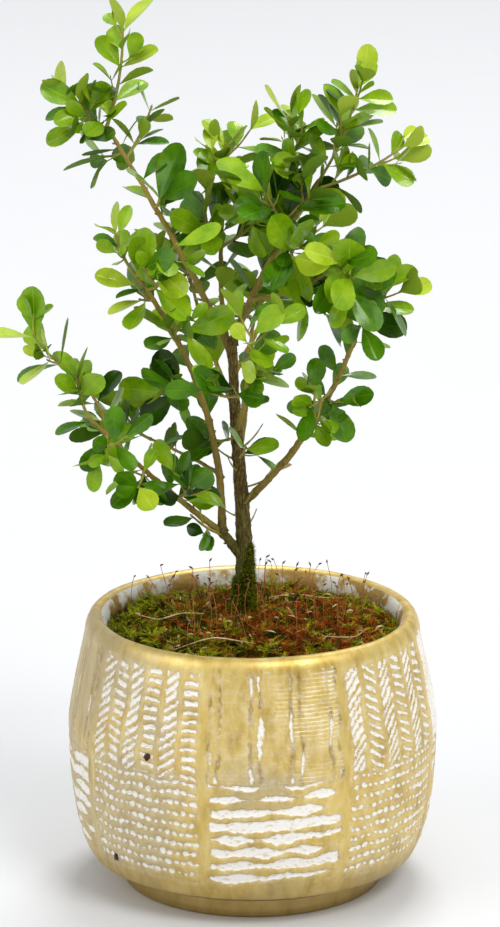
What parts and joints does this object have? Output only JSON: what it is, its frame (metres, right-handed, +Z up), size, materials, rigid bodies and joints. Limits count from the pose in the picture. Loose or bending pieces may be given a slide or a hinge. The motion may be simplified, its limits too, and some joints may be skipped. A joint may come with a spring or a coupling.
{
  "type": "boxwood bonsai in a round pot",
  "caption": "Young boxwood bonsai with forked stems and small rounded leaves, growing from moss in a round gold-rubbed pot with pressed patterns.",
  "frame": {"origin": "middle of the pot's flat underside", "axes": "+Z up, -Y towards the best side of the tree, +X to that side's right"},
  "size_m": [0.1541, 0.1407, 0.3151],
  "materials": {
    "glaze": "gold paint rubbed over matt white ceramic",
    "moss": "damp moss over dark soil",
    "bark": "fine ridged bark, green at the foot",
    "foliage": "waxy evergreen leaves, glossy above and dull below"
  },
  "bodies": {
    "root": {"back_bough": "bark", "back_left": "foliage", "back_left_bough": "bark", "back_right": "foliage", "back_right_bough": "bark", "back_top": "foliage", "centre_left": "foliage", "centre_right": "foliage", "centre_stem": "bark", "centre_top": "foliage", "far_left": "foliage", "far_left_top": "foliage", "front_bough": "bark", "front_left": "foliage", "front_right": "foliage", "front_top": "foliage", "inner_left": "foliage", "inner_left_bough": "bark", "left_fork": "bark", "left_high_left": "foliage", "left_high_right": "foliage", "left_leader": "bark", "left_leader_side": "foliage", "left_low_left": "foliage", "left_mid_left": "foliage", "left_mid_right": "foliage", "left_riser": "bark", "left_stem": "bark", "left_top": "foliage", "left_top_right": "foliage", "low_left_bough": "bark", "low_left_inner": "foliage", "low_left_under": "foliage", "low_twig": "foliage", "lower_left": "foliage", "moss_bed": "moss", "pot": "glaze", "right_bough": "bark", "right_bough_foot": "foliage", "right_bough_left": "foliage", "right_bough_right": "foliage", "right_bough_top": "foliage", "right_branch": "bark", "right_branch_under": "foliage", "right_end": "foliage", "right_fork_left": "foliage", "right_inner": "foliage", "right_leader": "bark", "right_low_side": "foliage", "right_mid": "foliage", "right_side": "foliage", "right_top": "foliage", "top_far_left": "foliage", "top_left": "foliage", "top_right": "foliage", "top_side_left": "foliage", "top_up": "foliage", "trunk": "bark", "trunk_left": "foliage", "trunk_right": "foliage"}
  },
  "joints": []
}
